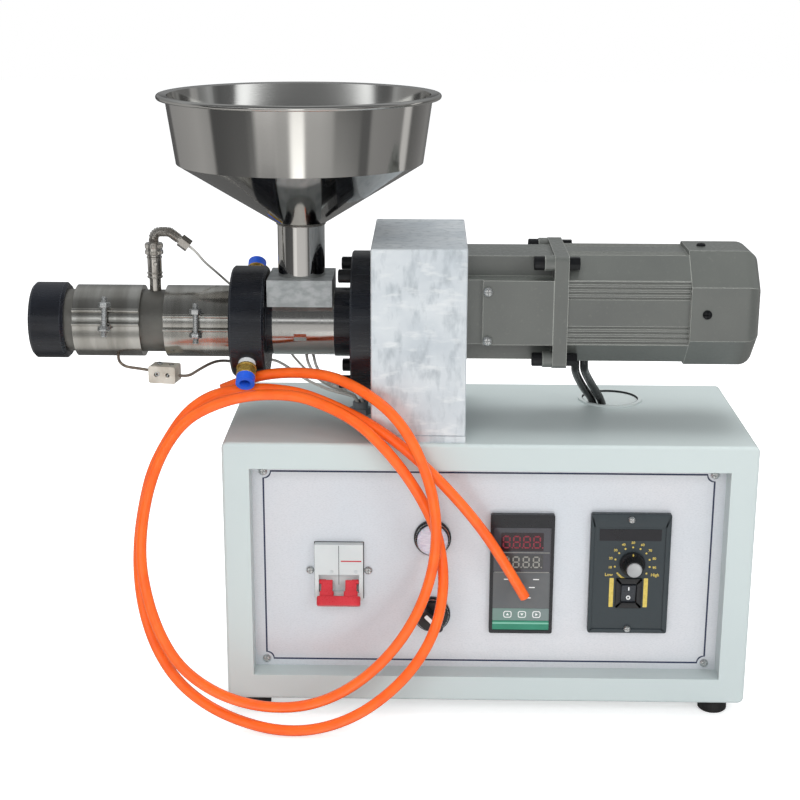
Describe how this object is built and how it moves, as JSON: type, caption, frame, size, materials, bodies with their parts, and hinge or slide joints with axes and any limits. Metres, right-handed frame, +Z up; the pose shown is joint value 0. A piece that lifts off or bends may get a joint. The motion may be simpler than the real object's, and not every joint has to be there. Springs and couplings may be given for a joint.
{
  "type": "filament extruder",
  "caption": "Benchtop single-screw filament extruder: gear motor, thrust block, heated barrel with cooling ring and steel hopper, all on a control cabinet.",
  "frame": {"origin": "on the floor under the barrel's axis, midway between the die cap's end and the fan cover's end: the bottom centre of the machine's box", "axes": "+X along the barrel towards the motor, +Y away from the control panel, +Z up"},
  "size_m": [0.5404, 0.214, 0.464],
  "materials": {
    "cabinet_paint": "fine powder coat, satin",
    "panel_silver": "satin silver face",
    "rubber": "matt moulded rubber",
    "ivory_plastic": "moulded",
    "red_plastic": "moulded",
    "chrome": "polished",
    "lamp_white": "frosted lens",
    "black_plastic": "moulded",
    "cable_sheath": "glossy black sheath",
    "ceramic": "unglazed, cream",
    "fibre_sleeve": "woven glass fibre",
    "orange_tube": "glossy polyurethane",
    "grey_plastic": "moulded",
    "aluminium": "milled, mottled",
    "motor_paint": "dull olive grey",
    "black_steel": "black oxide",
    "polished_steel": "mirror polished stainless",
    "barrel_steel": "nitrided, dull",
    "brass": "turned",
    "blue_plastic": "moulded"
  },
  "bodies": {
    "root": {"back_panel": "cabinet_paint", "barrel": "barrel_steel", "base_plate": "aluminium", "bearing_flange": "black_steel", "breaker": "ivory_plastic", "cabinet_wrap": "cabinet_paint", "cable_gland": "grey_plastic", "cable_grommet": "rubber", "clamp_screws": "chrome", "control_panel": "panel_silver", "controller": "black_plastic", "cooling_ring": "black_steel", "cooling_tube": "orange_tube", "die_cap": "black_steel", "fan_cover": "motor_paint", "feed_block": "aluminium", "feed_throat": "polished_steel", "feet": "rubber", "fittings": "brass", "flange_bolts": "black_steel", "front_frame": "cabinet_paint", "front_heater_lead": "fibre_sleeve", "gearbox": "motor_paint", "gearbox_bolts": "black_steel", "heater_bands": "polished_steel", "hopper_bowl": "polished_steel", "hopper_spout": "polished_steel", "lamp_lens": "lamp_white", "motor_cable": "cable_sheath", "motor_flange": "motor_paint", "motor_housing": "motor_paint", "rear_heater_lead_1": "fibre_sleeve", "rear_heater_lead_2": "fibre_sleeve", "release_rings": "blue_plastic", "round_bezels": "chrome", "sensor": "polished_steel", "sensor_lead": "fibre_sleeve", "speed_bezel": "grey_plastic", "terminal_block": "ceramic", "terminal_lead": "fibre_sleeve", "thrust_block": "aluminium"},
    "lever": {"breaker_lever": "red_plastic"},
    "selector": {"selector_knob": "black_plastic"},
    "speed": {"speed_knob": "black_plastic"},
    "power": {"rocker": "black_plastic"}
  },
  "joints": [
    {"name": "breaker_switch", "type": "hinge", "parent": "root", "child": "lever", "pos_m": [-0.03795, -0.056, 0.104], "axis": [-1, 0, 0], "range_deg": [0, 100]},
    {"name": "selector_turn", "type": "hinge", "parent": "root", "child": "selector", "pos_m": [0.03255, -0.0555, 0.077], "axis": [0, 1, 0], "range_deg": [0, 90]},
    {"name": "speed_turn", "type": "hinge", "parent": "root", "child": "speed", "pos_m": [0.18295, -0.0565, 0.1208], "axis": [0, 1, 0], "range_deg": [0, 280]},
    {"name": "power_switch", "type": "hinge", "parent": "root", "child": "power", "pos_m": [0.18105, -0.0551, 0.0975], "axis": [-1, 0, 0], "range_deg": [0, 16]}
  ]
}
